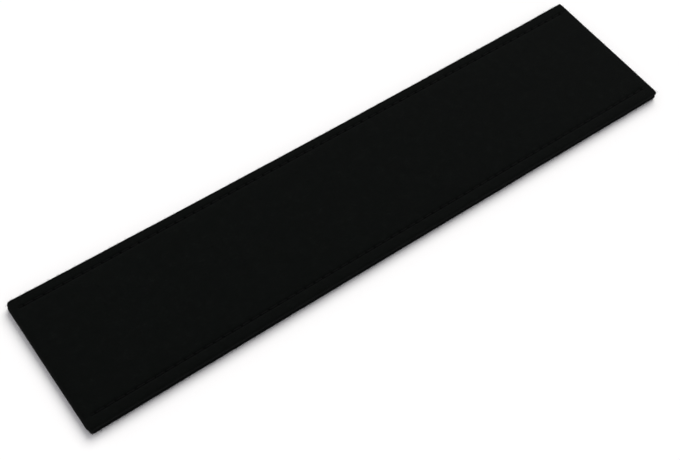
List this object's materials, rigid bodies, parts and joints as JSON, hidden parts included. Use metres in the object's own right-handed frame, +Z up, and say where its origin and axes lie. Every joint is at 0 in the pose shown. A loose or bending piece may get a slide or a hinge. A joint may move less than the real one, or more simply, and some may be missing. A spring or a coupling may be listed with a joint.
{
  "type": "knife blade guard",
  "caption": "Flat felt sleeve that a kitchen knife's blade slides into, folded at the tip end, stitched along both long sides and lined with thin plastic.",
  "frame": {"origin": "middle of the underside, on the surface that the sleeve lies on", "axes": "+X from the folded tip end to the mouth, +Y across the width to the far side, +Z up"},
  "size_m": [0.27, 0.06, 0.0046],
  "materials": {
    "felt": "black needled felt, matt, slightly fuzzy",
    "liner": "dark grey polypropylene sheet, satin",
    "thread": "black twisted polyester sewing thread"
  },
  "bodies": {
    "root": {"felt_top_panel": "felt", "felt_bottom_panel": "felt", "felt_end_fold": "felt", "liner_top_sheet": "liner", "liner_bottom_sheet": "liner", "near_seam_needle_thread": "thread", "near_seam_bobbin_thread": "thread", "far_seam_needle_thread": "thread", "far_seam_bobbin_thread": "thread"}
  },
  "joints": []
}
